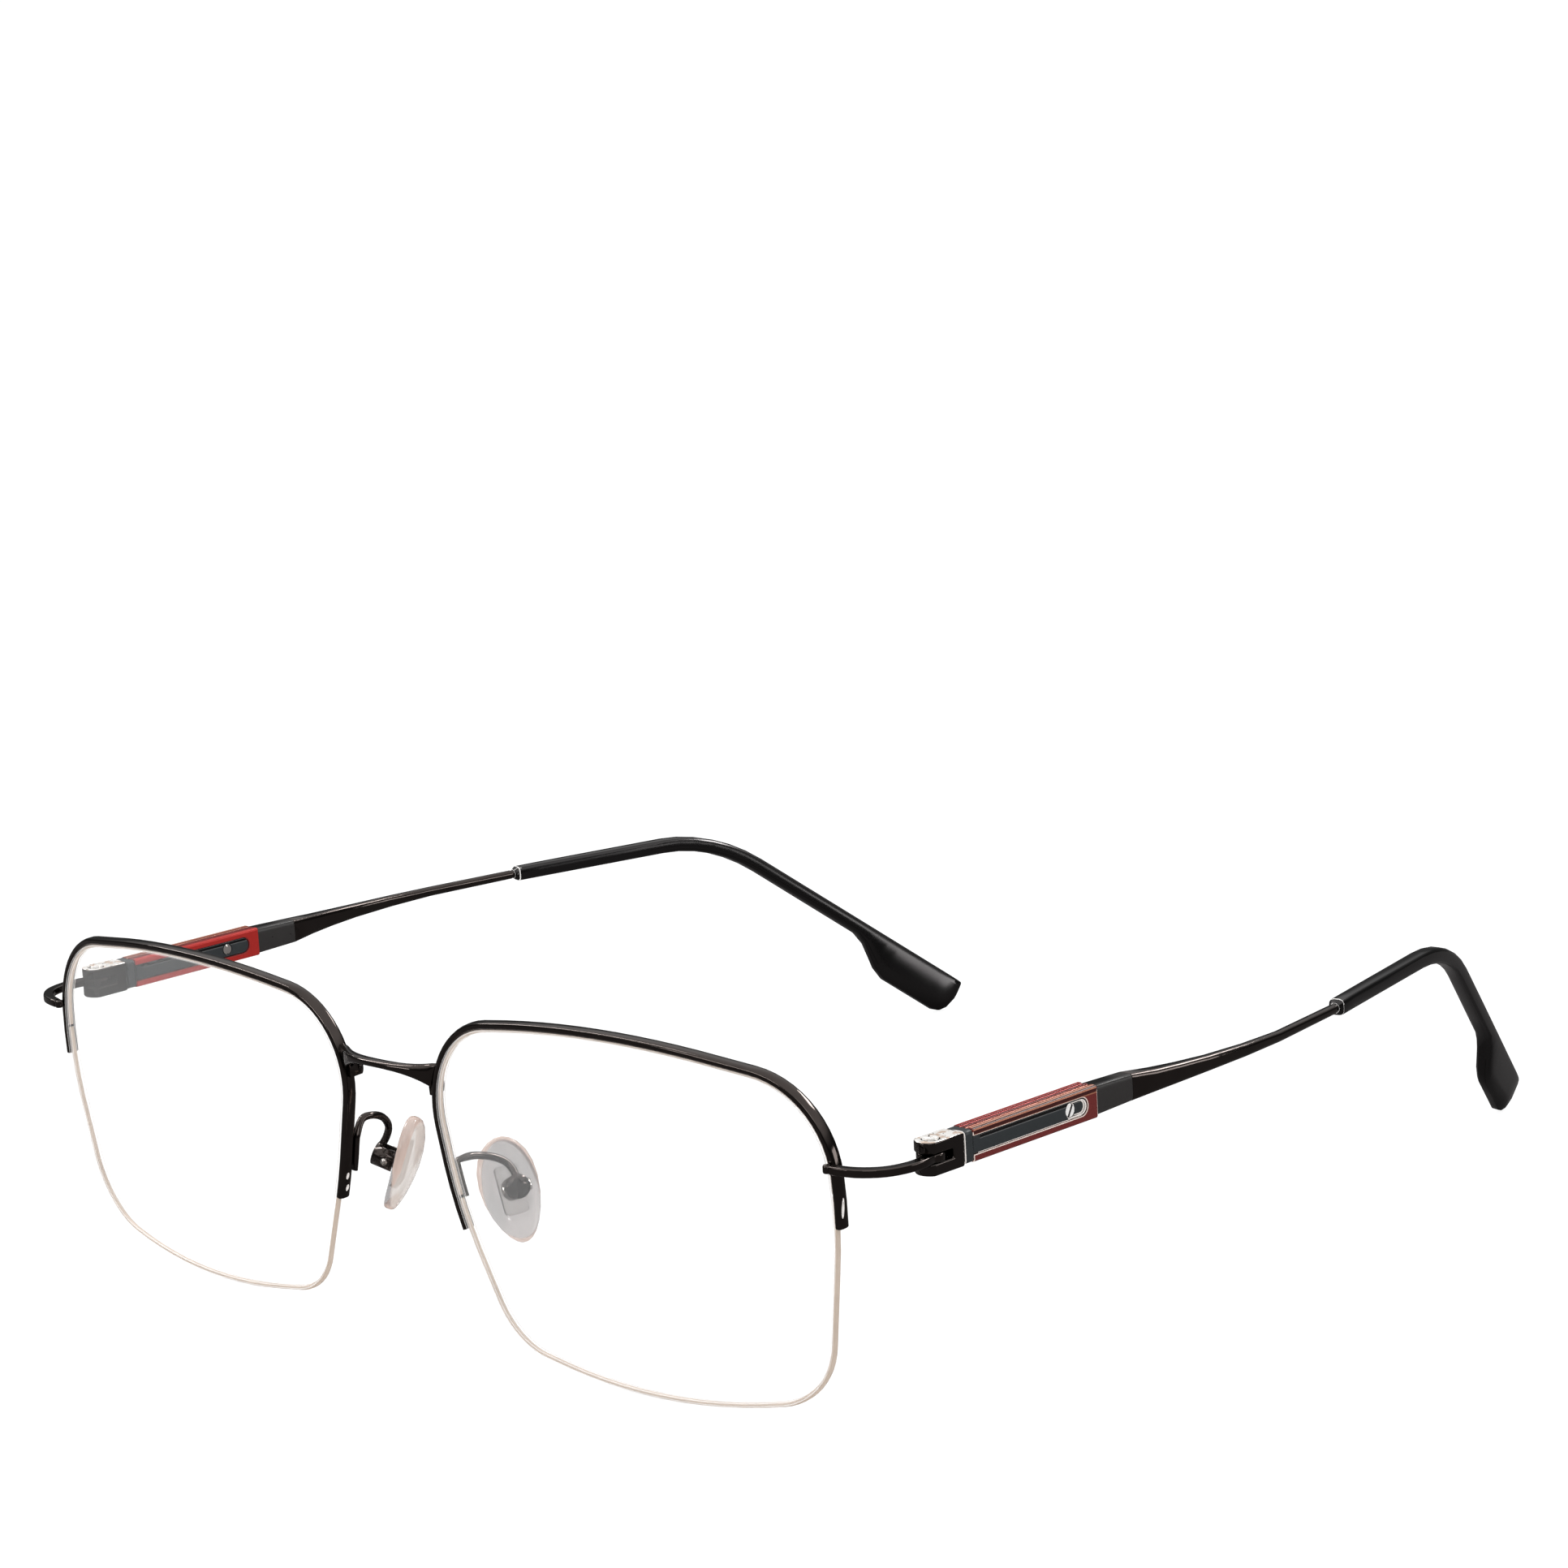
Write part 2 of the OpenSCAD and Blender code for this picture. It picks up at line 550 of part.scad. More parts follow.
// Nose pad: a clear rounded pad, bowed towards the nose, with a pocket for the insert
pad_bow = 0.7;
pad_broad = 0.18;        // how much broader the pad is above than below
pad_points = 16;
function pad_ring(a) = let (
    k = sin(a),
    half = pad_w / 2 * max(0.12, cos(a)) * (1 + pad_broad * k),
    thick = pad_t / 2 * (0.3 + 0.7 * pow(cos(a), 0.6)))
  [for (i = [0:pad_points - 1]) let (
      q = 360 * i / pad_points,
      c = cos(q),
      d = sin(q))
    [pad_bow * k * k + sign(c) * pow(abs(c), 0.7) * thick,
      sign(d) * pow(abs(d), 0.85) * half, k * pad_h / 2]];
module nose_pad(side) {
  color("#ead9d2", 0.6) pad_frame(side) difference() {
    skin([for (a = [-85, -72, -58, -42, -26, -9, 9, 26, 42, 58, 72, 85]) pad_ring(a)]);
    translate([plate_floor, 0, 0]) rotate([0, 90, 0]) linear_extrude(4)
      rounded(insert_h + 2 * fit, insert_w + 2 * fit, 0.6);
  }
}

// Pad screw: holds the insert's eye between the cheeks of the box
pad_head_d = 1.5;
pad_head_h = 0.4;
module pad_screw(side) {
  color("#c9c5c0") pad_frame(side) {
    across_pad(box_at, -cheek, cheek + 0.1, pad_screw_d);
    translate([box_at, cheek + fit, 0]) rotate([-90, 0, 0]) difference() {
      cylinder(h = pad_head_h, d = pad_head_d);
      translate([-1, -0.12, pad_head_h / 2]) cube([2, 0.24, 1]);
    }
  }
}

// ---------------------------------------------------------------- hinges

ear_half_w = 1.55;       // half width of the hinge block
block_back = 3.9;        // from the hinge screw to the back of the hinge block
slot_back = tongue_r + 0.5;
head_d = 1.9;
head_h = 0.5;
head_sunk = 0.3;
rod_end = 17.8;          // from the hinge screw to the end of the rod
collar_l = 0.8;
bore_d = 1.9;            // bore in the temple core that the spring lies in
bush_at = 6;
bush_l = 2;

// Clevis: two ears over and under the hinge tongue, with the rod that the spring pulls on
module hinge_clevis(side) {
  color("#221b19") hinge(side) {
    difference() {
      intersection() {
        union() {
          cylinder(h = ear_h, r = ear_r, center = true);
          translate([-ear_r, 0, -ear_h / 2]) cube([2 * ear_r, block_back, ear_h]);
        }
        cube([2 * ear_half_w, 20, 20], center = true);
      }
      translate([-4, -4, -strip_h / 2 - hinge_gap])
        cube([8, 4 + slot_back, strip_h + 2 * hinge_gap]);
      cylinder(h = ear_h + 1, d = screw_d + 2 * fit, center = true);
      translate([0, 0, ear_h / 2 - head_sunk]) cylinder(h = 1, d = head_d + 2 * run);
    }
    rod(block_back - 0.5, rod_end, rod_d);
    rod(rod_end - collar_l, rod_end, bore_d - 2 * run);
  }
}

// Hinge screw: turns with the clevis in the bore of the end piece's tongue
module hinge_screw(side) {
  color("#d8d4cc") hinge(side) {
    translate([0, 0, -ear_h / 2]) cylinder(h = ear_h - head_sunk + 0.1, d = screw_d);
    translate([0, 0, ear_h / 2 - head_sunk + fit]) difference() {
      cylinder(h = head_h, d = head_d);
      translate([-1, -0.15, head_h - 0.25]) cube([2, 0.3, 1]);
    }
  }
}

// Spring bush: pressed into the core, it guides the rod and takes the spring's push
module spring_bush(side) {
  color("#b8aa9c") temple(side) difference() {
    rod(bush_at, bush_at + bush_l, bore_d - 2 * fit);
    rod(bush_at - 1, bush_at + bush_l + 1, rod_d + 2 * run);
  }
}

// Hinge spring: a coil round the rod, between the bush and the rod's collar
spring_turns = 6;
spring_wire = 0.22;
spring_r = 0.7;
spring_gap = 0.04;
module hinge_spring(side) {
  first = bush_at + bush_l + spring_gap + spring_wire / 2;
  last = rod_end - collar_l - spring_gap - spring_wire / 2;
  color("#c9c5c0") temple(side)
    wire([for (i = [0:spring_turns * 12]) let (k = i / (spring_turns * 12))
      [spring_r * cos(i * 30), first + (last - first) * k, spring_r * sin(i * 30),
        spring_wire / 2, spring_wire / 2]], [1, 0, 0], 5);
}

// ---------------------------------------------------------------- temples

cap_start = 4;
cap_end = 5.4;
wall = 0.45;             // thickness of the sleeve
core_w = sleeve_w - 2 * wall;
core_h = sleeve_h - 2 * wall;
plate_h = 2.1;           // height of the black plate in the sleeve's windows
plate_w = sleeve_w - 0.2;
window_end = sleeve_end - 1.7;
tenon_w = 1.5;
tenon_h = 2.2;
tenon_l = 2.4;

// A slot across the temple, from y0 to y1 with a round end at the back
module slot_across(y0, y1, h, w) {
  translate([-w / 2, y0, -h / 2]) cube([w, y1 - h / 2 - y0, h]);
  translate([-w / 2, y1 - h / 2, 0]) rotate([0, 90, 0]) cylinder(h = w, d = h);
}

// Temple sleeve: a thin red box with a long window in each side and two grooves on top
groove_r = 0.22;
module temple_sleeve(side) {
  color("#5a1712") temple(side) difference() {
    along_y(cap_end + fit, sleeve_end) difference() {
      rounded(sleeve_w, sleeve_h, 0.35);
      square([core_w + 2 * fit, core_h + 2 * fit], center = true);
      for (x = [-0.55, 0.35]) translate([x, sleeve_h / 2]) circle(groove_r, $fn = 16);
    }
    slot_across(0, window_end, plate_h + 2 * fit, 10);
  }
}

// Temple core: the cap behind the hinge, the plates in the windows and the spring's bore
screw_at = 21.2;
core_screw_d = 0.9;
core_screw_l = 1.5;
core_head_d = 1.4;
core_head_h = 0.3;
badge_at = 22.1;
badge_d = 1.6;
badge_h = 0.5;
recess_h = 1.6;
recess_deep = 0.3;
module temple_core(side) {
  color("#1c2024") temple(side) difference() {
    union() {
      along_y(cap_start, cap_end) rounded(sleeve_w - 0.05, sleeve_h - 0.1, 0.5);
      along_y(cap_end - 0.1, sleeve_end) square([core_w, core_h], center = true);
      slot_across(cap_end - 0.1, window_end - fit, plate_h, plate_w);
      along_y(sleeve_end - 0.1, sleeve_end + tenon_l) square([tenon_w, tenon_h], center = true);
    }
    rod(cap_start - 1, rod_end + 1.7, bore_d);
    translate([plate_w / 2 - recess_deep + 1, 0, 0])
      slot_across(badge_at, window_end - 0.3, recess_h, 2);
    translate([plate_w / 2 - recess_deep - badge_h, badge_at, 0]) rotate([0, 90, 0])
      cylinder(h = 3, d = badge_d + 2 * fit);
    translate([-plate_w / 2, screw_at, 0]) rotate([0, 90, 0]) {
      translate([0, 0, -1]) cylinder(h = 1 + core_head_h, d = core_head_d + 2 * fit);
      cylinder(h = core_screw_l, d = core_screw_d + 2 * fit);
    }
  }
}

// Badge disc: a bare polished disc in the recess at the back of the outer plate
module badge_disc(side) {
  color("#c9c5c0") temple(side)
    translate([plate_w / 2 - recess_deep - badge_h + fit, badge_at, 0]) rotate([0, 90, 0])
      cylinder(h = badge_h + recess_deep / 2, d = badge_d);
}

// Core screw: holds the core from the inner side
module core_screw(side) {
  color("#d8d4cc") temple(side) translate([-plate_w / 2, screw_at, 0]) rotate([0, 90, 0]) {
    difference() {
      cylinder(h = core_head_h - fit, d = core_head_d);
      translate([-1, -0.12, -1]) cube([2, 0.24, 1.12]);
    }
    cylinder(h = core_screw_l - fit, d = core_screw_d);
  }
}

// Temple connector: the black block behind the sleeve, sprung on to the core's tenon
connector_w = 2.5;
connector_h = 3.7;
shaft_h0 = 3.3;
pin_l = 1.6;
pin_d = 1.2;
module temple_connector(side) {
  color("#17110f") temple(side) difference() {
    skin([oval(sleeve_end + fit, connector_w, connector_h, 0.35, 16),
      oval(block_end, connector_w - 0.1, shaft_h0, 0.35, 16)]);
    along_y(sleeve_end - 1, sleeve_end + tenon_l + fit)
      square([tenon_w + 2 * fit, tenon_h + 2 * fit], center = true);
    rod(block_end - pin_l - fit, block_end + 1, pin_d + 2 * fit);
  }
}

// Temple shaft: a bar that tapers to a round wire, which is pushed into the tip
insert_l = 12;
function shaft_ring(t, w, h, squareness) = [for (p = oval(t, w, h, squareness, 16))
  p - [inward(t), 0, 0]];
module in_tip(grow, longer) {
  translate([-bow_end, tip_start, 0]) rotate([0, 0, sweep])
    rod(-longer, insert_l + grow, wire_d + 2 * grow);
}
module temple_shaft(side) {
  t0 = block_end + fit;
  t1 = tip_start - 0.3;
  shaft_end = wire_d + 0.1;
  color("#17110f") temple(side) {
    skin([shaft_ring(t0, connector_w - 0.1, shaft_h0, 0.35),
      shaft_ring(t0 + 4, 2.1, 2.75, 0.45), shaft_ring(t0 + 8, 1.7, 2.35, 0.5),
      shaft_ring(t0 + 13, 1.45, 1.95, 0.6), shaft_ring(t0 + 20, 1.3, 1.6, 0.7),
      shaft_ring(t0 + 27, 1.25, 1.35, 0.8), shaft_ring(t1, shaft_end, shaft_end, 0.9)]);
    in_tip(0, 0.5);
    rod(t0 - pin_l, t0 + 0.5, pin_d);
  }
}

// Temple tip: a sleeve that drops behind the ear and widens into a flat paddle
module temple_tip(side) {
  color("#0e0c0c") temple(side) difference() {
    skin(tip_rings);
    in_tip(fit, 1);
  }
}

rim(1);  // right_rim
rim(-1);  // left_rim
bridge();
lens(1);  // right_lens
lens(-1);  // left_lens
nylon(1, liner_path);  // right_rim_liner
nylon(-1, liner_path);  // left_rim_liner
nylon(1, cord_path);  // right_lens_cord
nylon(-1, cord_path);  // left_lens_cord
end_piece(1);  // right_end_piece
end_piece(-1);  // left_end_piece
pad_arm(1);  // right_pad_arm
pad_arm(-1);  // left_pad_arm
pad_insert(1);  // right_pad_insert
pad_insert(-1);  // left_pad_insert
nose_pad(1);  // right_nose_pad
nose_pad(-1);  // left_nose_pad
pad_screw(1);  // right_pad_screw
pad_screw(-1);  // left_pad_screw
hinge_clevis(1);  // right_hinge_clevis
hinge_clevis(-1);  // left_hinge_clevis
hinge_screw(1);  // right_hinge_screw
hinge_screw(-1);  // left_hinge_screw
spring_bush(1);  // right_spring_bush
spring_bush(-1);  // left_spring_bush
hinge_spring(1);  // right_hinge_spring
hinge_spring(-1);  // left_hinge_spring
temple_sleeve(1);  // right_temple_sleeve
temple_sleeve(-1);  // left_temple_sleeve
temple_core(1);  // right_temple_core
temple_core(-1);  // left_temple_core
badge_disc(1);  // right_badge_disc
badge_disc(-1);  // left_badge_disc
core_screw(1);  // right_core_screw
core_screw(-1);  // left_core_screw
temple_connector(1);  // right_temple_connector
temple_connector(-1);  // left_temple_connector
temple_shaft(1);  // right_temple_shaft
temple_shaft(-1);  // left_temple_shaft
temple_tip(1);  // right_temple_tip
temple_tip(-1);  // left_temple_tip
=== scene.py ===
import json
import math

import bpy
from mathutils import Matrix, Vector
from mathutils.bvhtree import BVHTree

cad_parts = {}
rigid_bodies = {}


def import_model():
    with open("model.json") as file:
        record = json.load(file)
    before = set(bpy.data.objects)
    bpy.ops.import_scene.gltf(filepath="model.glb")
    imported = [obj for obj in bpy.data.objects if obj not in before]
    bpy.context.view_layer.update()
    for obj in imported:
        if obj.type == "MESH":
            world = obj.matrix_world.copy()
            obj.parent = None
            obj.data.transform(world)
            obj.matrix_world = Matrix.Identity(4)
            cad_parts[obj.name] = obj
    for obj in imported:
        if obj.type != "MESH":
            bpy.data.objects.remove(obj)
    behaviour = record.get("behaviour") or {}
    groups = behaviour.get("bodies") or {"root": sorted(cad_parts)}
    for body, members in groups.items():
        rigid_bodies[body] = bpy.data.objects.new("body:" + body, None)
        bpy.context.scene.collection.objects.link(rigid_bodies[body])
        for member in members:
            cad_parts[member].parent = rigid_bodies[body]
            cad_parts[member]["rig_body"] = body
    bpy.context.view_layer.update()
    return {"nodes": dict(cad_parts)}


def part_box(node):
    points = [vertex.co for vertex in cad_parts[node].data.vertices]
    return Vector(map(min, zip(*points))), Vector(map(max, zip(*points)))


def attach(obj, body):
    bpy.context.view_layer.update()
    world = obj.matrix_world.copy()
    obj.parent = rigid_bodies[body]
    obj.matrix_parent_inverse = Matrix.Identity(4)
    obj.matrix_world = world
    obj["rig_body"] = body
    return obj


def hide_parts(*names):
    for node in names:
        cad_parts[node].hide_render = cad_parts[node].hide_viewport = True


# Half rim eyeglasses, dressed over their CAD nodes. "right" is +X, which is the right side
# for someone who faces the glasses.
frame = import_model()

# ---------------------------------------------------------------- the photograph's view
# The glasses stand open on a white table and are seen from the front, a little from
# above and from the viewer's right, through a long lens.
focal_length = 98.96
sensor_width = 36.0
azimuth, elevation, roll = 44.71, 11.21, -3.29
eye = Vector((0.38709, -0.39874, 0.16508))

# Image points in the photograph's frame, 1568 by 1568: x and y, or one of them for an edge
FRAME = 1568
POINTS = {
    "object_left": (43.2, None), "object_right": (1516.9, None),
    "object_top": (None, 836.6), "object_bottom": (None, 1408.1),
    "right_rim_inner_end": (467.1, 1230.4), "right_rim_outer_end": (839.7, 1230.2),
    "left_rim_inner_end": (342.5, 1200.1), "bridge_by_right_rim": (432.6, 1069.7),
    "right_sleeve_back": (1095.6, 1081.0), "right_badge": (1070.5, 1111.9),
    "right_block_back": (1133.0, 1088.3), "left_core_screw": (227.2, 947.9),
    "right_tip_front": (1340.7, 1003.1), "right_pad_bottom": (523.5, 1243.4),
    "left_pad_bottom": (386.3, 1207.6),
    "thread_hole_upper": (347.9, 1176.0), "thread_hole_lower": (347.5, 1187.7),
    "thread_slot": (843.2, 1208.4)}


def camera_axes(azimuth, elevation, roll):
    """The camera's right, up and back directions, as the columns of a matrix."""
    a, e, r = (math.radians(k) for k in (azimuth, elevation, roll))
    back = Vector((math.sin(a) * math.cos(e), -math.cos(a) * math.cos(e), math.sin(e)))
    level = Vector((math.cos(a), math.sin(a), 0))
    up = back.cross(level)
    right = level * math.cos(r) + up * math.sin(r)
    return Matrix((right, back.cross(right), back)).transposed()


axes = camera_axes(azimuth, elevation, roll)
camera_data = bpy.data.cameras.new("camera")
camera_data.lens = focal_length
camera_data.sensor_width = sensor_width
camera_data.sensor_fit = "AUTO"
camera_data.clip_start = 0.02
camera_data.clip_end = 60
camera = bpy.data.objects.new("camera", camera_data)
camera.matrix_world = Matrix.Translation(eye) @ axes.to_4x4()
bpy.context.scene.collection.objects.link(camera)
bpy.context.scene.camera = camera
bpy.context.scene.view_settings.view_transform = "Standard"


# ---------------------------------------------------------------- table and light
# A white table runs on behind the glasses without an edge. A dome that is dark at the horizon
# and white overhead, four narrow lamps and a soft one draw the highlights on the black metal.
# The table keeps a faint shadow and shows dark in reflections, so the metal stays black.
class Wire:
    """A socket on which Python's operators add Math nodes."""

    def __init__(self, finish, socket):
        self.finish = finish
        self.socket = socket

    def math(self, operation, *values):
        return self.finish.node("ShaderNodeMath", {"operation": operation},
                                dict(enumerate(values)))["Value"]

    def __add__(self, other): return self.math("ADD", self, other)
    def __radd__(self, other): return self.math("ADD", other, self)
    def __sub__(self, other): return self.math("SUBTRACT", self, other)
    def __rsub__(self, other): return self.math("SUBTRACT", other, self)
    def __mul__(self, other): return self.math("MULTIPLY", self, other)
    def __rmul__(self, other): return self.math("MULTIPLY", other, self)
    def __truediv__(self, other): return self.math("DIVIDE", self, other)
    def __pow__(self, other): return self.math("POWER", self, other)
    def __abs__(self): return self.math("ABSOLUTE", self)

    def larger(self, other): return self.math("MAXIMUM", self, other)
    def smaller(self, other): return self.math("MINIMUM", self, other)

    def over(self, edge, soft):
        """0 below edge and 1 above it, turning over a width of soft."""
        return self.finish.node("ShaderNodeMapRange", {"interpolation_type": "SMOOTHSTEP"}, {
            "Value": self, "From Min": edge - soft / 2, "From Max": edge + soft / 2})["Result"]

    def between(self, low, high, soft):
        """1 from low to high, and 0 outside."""
        return self.over(low, soft) * (1 - self.over(high, soft))


class Finish:
    """A material, or the world, under construction."""

    def __init__(self, name, owner=None):
        self.material = owner or bpy.data.materials.new(name)
        self.material.use_nodes = True
        self.tree = self.material.node_tree
        self.tree.nodes.clear()

    def node(self, kind, settings=None, values=None):
        """Adds a node and returns its outputs, by name, as Wires."""
        node = self.tree.nodes.new(kind)
        for key, value in (settings or {}).items():
            if key == "stops":
                while len(node.color_ramp.elements) < len(value):
                    node.color_ramp.elements.new(0.5)
                for element, (place, colour) in zip(node.color_ramp.elements, value):
                    element.position = place
                    element.color = (*colour, 1)
            else:
                setattr(node, key, value)
        for key, value in (values or {}).items():
            socket = node.inputs[key]
            if isinstance(value, Wire):
                self.tree.links.new(value.socket, socket)
            elif isinstance(value, tuple) and len(value) == 3 and socket.type == "RGBA":
                socket.default_value = (*value, 1)
            else:
                socket.default_value = value
        return {s.name: Wire(self, s) for s in node.outputs if s.enabled}

    def object_xyz(self):
        """The piece's own X, Y and Z in millimetres, as three values."""
        place = self.node("ShaderNodeTexCoord")["Object"]
        split = self.node("ShaderNodeSeparateXYZ", {}, {"Vector": place})
        return tuple(split[axis] * 1000 for axis in "XYZ")

    def point(self, x, y, z):
        return self.node("ShaderNodeCombineXYZ", {}, {"X": x, "Y": y, "Z": z})["Vector"]

    def noise(self, where, scale, detail=2.0, roughness=0.5):
        return self.node("ShaderNodeTexNoise", {}, {
            "Vector": where, "Scale": scale, "Detail": detail, "Roughness": roughness})["Fac"]

    def mix(self, mask, one, other):
        """The colour one where mask is 0, and other where it is 1."""
        node = self.tree.nodes.new("ShaderNodeMix")
        node.data_type = "RGBA"
        for socket, value in zip((node.inputs[0], node.inputs[6], node.inputs[7]),
                                 (mask, one, other)):
            if isinstance(value, Wire):
                self.tree.links.new(value.socket, socket)
            else:
                socket.default_value = (*value, 1) if isinstance(value, tuple) else value
        return Wire(self, node.outputs[2])

    def bump(self, height, distance):
        return self.node("ShaderNodeBump", {}, {
            "Height": height, "Distance": distance / 1000, "Strength": 1.0})["Normal"]

    def surface(self, **sockets):
        """A Principled surface; a name's underscores stand for the spaces in the socket's."""
        values = {key.replace("_", " "): value for key, value in sockets.items()}
        shader = self.node("ShaderNodeBsdfPrincipled", {}, values)["BSDF"]
        return self.out(shader)

    def out(self, shader, kind="ShaderNodeOutputMaterial"):
        self.node(kind, {}, {"Surface": shader})
        return self.material


def seen(ray):
    """1 for what the camera sees directly or through a lens."""
    return (ray["Is Camera Ray"] + ray["Is Transmission Ray"]).smaller(1.0)


room = Finish("room", bpy.context.scene.world or bpy.data.worlds.new("room"))
bpy.context.scene.world = room.material
ray = room.node("ShaderNodeLightPath")
height = room.node("ShaderNodeSeparateXYZ", {}, {
    "Vector": room.node("ShaderNodeTexCoord")["Generated"]})["Z"]
horizon_light, horizon_height, horizon_blur = 0.07, 0.44, 0.42
studio = horizon_light + height.over(horizon_height, horizon_blur)
glow = room.node("ShaderNodeBackground", {}, {
    "Color": (1.0, 1.0, 1.0), "Strength": studio + (1 - studio) * seen(ray)})["Background"]
room.out(glow, "ShaderNodeOutputWorld")

LAMPS = {  # place and size in metres, power in watts
    "left_strip": ((-0.83, -0.25, 0.86), (0.12, 0.8), 8.0),
    "back_strip": ((0.24, 0.88, 0.84), (0.42, 0.16), 4.2),
    "front_strip": ((-0.35, -1.2, 0.32), (0.5, 0.12), 2.4),
    "side_strip": ((1.0, 0.66, 0.17), (0.5, 0.22), 1.6),
    "front_fill": ((0.75, -0.95, 0.75), (0.5, 0.5), 1.6)}
for name, (place, size, power) in LAMPS.items():
    lamp = bpy.data.lights.new(name, "AREA")
    lamp.shape = "RECTANGLE"
    lamp.size, lamp.size_y = size
    lamp.energy = power
    stand = bpy.data.objects.new(name, lamp)
    stand.location = place
    stand.rotation_euler = (-Vector(place)).to_track_quat("-Z", "Y").to_euler()
    bpy.context.scene.collection.objects.link(stand)

below_glasses = 0.0001
bpy.ops.object.select_all(action="DESELECT")
bpy.ops.mesh.primitive_plane_add(size=60, location=(0, 0, -below_glasses))
table = bpy.context.object
table.name = "table"
cloth = Finish("white_table")
ray = cloth.node("ShaderNodeLightPath")
in_light, in_reflections = (0.9, 0.9, 0.9), (0.12, 0.115, 0.115)
lit = cloth.node("ShaderNodeBsdfDiffuse", {}, {
    "Color": cloth.mix(ray["Is Glossy Ray"], in_light, in_reflections)})["BSDF"]
white = cloth.node("ShaderNodeEmission", {}, {
    "Color": (1.0, 1.0, 1.0), "Strength": 1.09})["Emission"]
share_of_white = 0.85
table.data.materials.append(cloth.out(cloth.node("ShaderNodeMixShader", {}, {
    "Fac": seen(ray) * share_of_white, 1: lit, 2: white})["Shader"]))


# ---------------------------------------------------------------- rims, bridge, end pieces, pad arms
# Thin bars of nickel silver, brazed together and plated glossy black. The plating
# has a warm brown tone where it catches the light.
SIDES = ("right", "left")
nodes = frame["nodes"]


def dress(name, finish, angle=35.0, bevel=0.0, edge=None, steps=2):
    """A merged copy of a CAD node that stands for it.

    Faces that meet at less than angle, in degrees, are shaded as one. A bevel, in mm, softens
    the edges in steps facets, in the finish edge where it is given.
    """
    same_plane, flat_sided_below, bevelled_above = 0.8, 45.0, 32.0  # degrees
    node = nodes[name]
    piece = node.copy()
    piece.data = node.data.copy()
    piece.name = piece.data.name = name + "_finish"
    piece.parent = None
    for key in list(piece.keys()):
        del piece[key]
    bpy.context.scene.collection.objects.link(piece)
    bpy.ops.object.select_all(action="DESELECT")
    piece.select_set(True)
    bpy.context.view_layer.objects.active = piece
    bpy.ops.object.mode_set(mode="EDIT")
    bpy.ops.mesh.select_all(action="SELECT")
    bpy.ops.mesh.remove_doubles(threshold=0.000002)
    flat_sided = angle < flat_sided_below
    if bevel and flat_sided:
        bpy.ops.mesh.dissolve_limited(angle_limit=math.radians(same_plane))
    bpy.ops.object.mode_set(mode="OBJECT")
    piece.data.materials.clear()
    piece.data.materials.append(finish)
    if bevel:
        soften = piece.modifiers.new("edges", "BEVEL")
        soften.width = bevel / 1000
        soften.segments = steps
        soften.limit_method = "ANGLE"
        soften.use_clamp_overlap = False
        soften.angle_limit = math.radians(bevelled_above)
        if edge:
            piece.data.materials.append(edge)
            soften.material = 1
        bpy.ops.object.modifier_apply(modifier=soften.name)
    bpy.ops.object.shade_smooth_by_angle(angle=math.radians(angle))
    if flat_sided:
        weigh = piece.modifiers.new("flat_faces", "WEIGHTED_NORMAL")
        weigh.keep_sharp = True
        bpy.ops.object.modifier_apply(modifier=weigh.name)
    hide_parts(name)
    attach(piece, node["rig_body"])


plating = Finish("black_nickel")
x, y, z = plating.object_xyz()
cloud = plating.noise(plating.point(x, y, z), 0.35, 2)
black_nickel = plating.surface(
    Base_Color=plating.mix(cloud, (0.050, 0.042, 0.039), (0.075, 0.063, 0.058)), Metallic=1.0,
    Roughness=0.07 + 0.06 * plating.noise(plating.point(x, y, z), 0.8, 2),
    Normal=plating.bump(plating.noise(plating.point(x, y, z), 0.6, 1), 0.02))
for side in SIDES:
    dress(side + "_rim", black_nickel, 30, 0.1)
    dress(side + "_pad_arm", black_nickel, 50)
    dress(side + "_end_piece", black_nickel, 30, 0.2, None, 3)
dress("bridge", black_nickel, 60)

# ---------------------------------------------------------------- nylon
# A liner of clear nylon lies in the rim's groove, and a nylon cord holds the lens from
# below. Both look pinkish beige against the white table.
nylon = Finish("nylon")
x, y, z = nylon.object_xyz()
nylon_line = nylon.surface(
    Base_Color=nylon.mix(nylon.noise(nylon.point(x, y, z), 0.4, 2),
                         (0.50, 0.405, 0.33), (0.62, 0.515, 0.43)),
    Roughness=0.28 + 0.1 * nylon.noise(nylon.point(x, y, z), 5.0, 1),
    Specular_IOR_Level=0.5, IOR=1.53)
for side in SIDES:
    dress(side + "_rim_liner", nylon_line, 60)
    dress(side + "_lens_cord", nylon_line, 60)

# ---------------------------------------------------------------- lenses
# Clear curved plastic lenses. A faint white tint and a faint white glow lay a pale veil over what
# is behind them, a painted reflection of the white room, and their ground edge shows as a thin grey
# line.
veil_paint = Finish("lens_painted_veil")
x, y, z = veil_paint.object_xyz()
haze = veil_paint.noise(veil_paint.point(x, y, z), 0.05, 2)
# The white base at low alpha and the weak white emission are the painted reflection.
lens_painted_veil = veil_paint.surface(
    Base_Color=(1.0, 1.0, 1.0), Alpha=0.045 + 0.02 * haze, Roughness=0.03, IOR=1.5,
    Specular_IOR_Level=0.3, Emission_Color=(1.0, 1.0, 1.0, 1.0), Emission_Strength=0.15)
ground = Finish("ground_lens_edge")
x, y, z = ground.object_xyz()
lens_edge = ground.surface(
    Base_Color=(0.93, 0.90, 0.88), Roughness=0.4, IOR=1.5,
    Alpha=0.55 + 0.15 * ground.noise(ground.point(x, y, z), 3.0, 2))
for side in SIDES:
    dress(side + "_lens", lens_painted_veil, 30, 0.08, lens_edge)

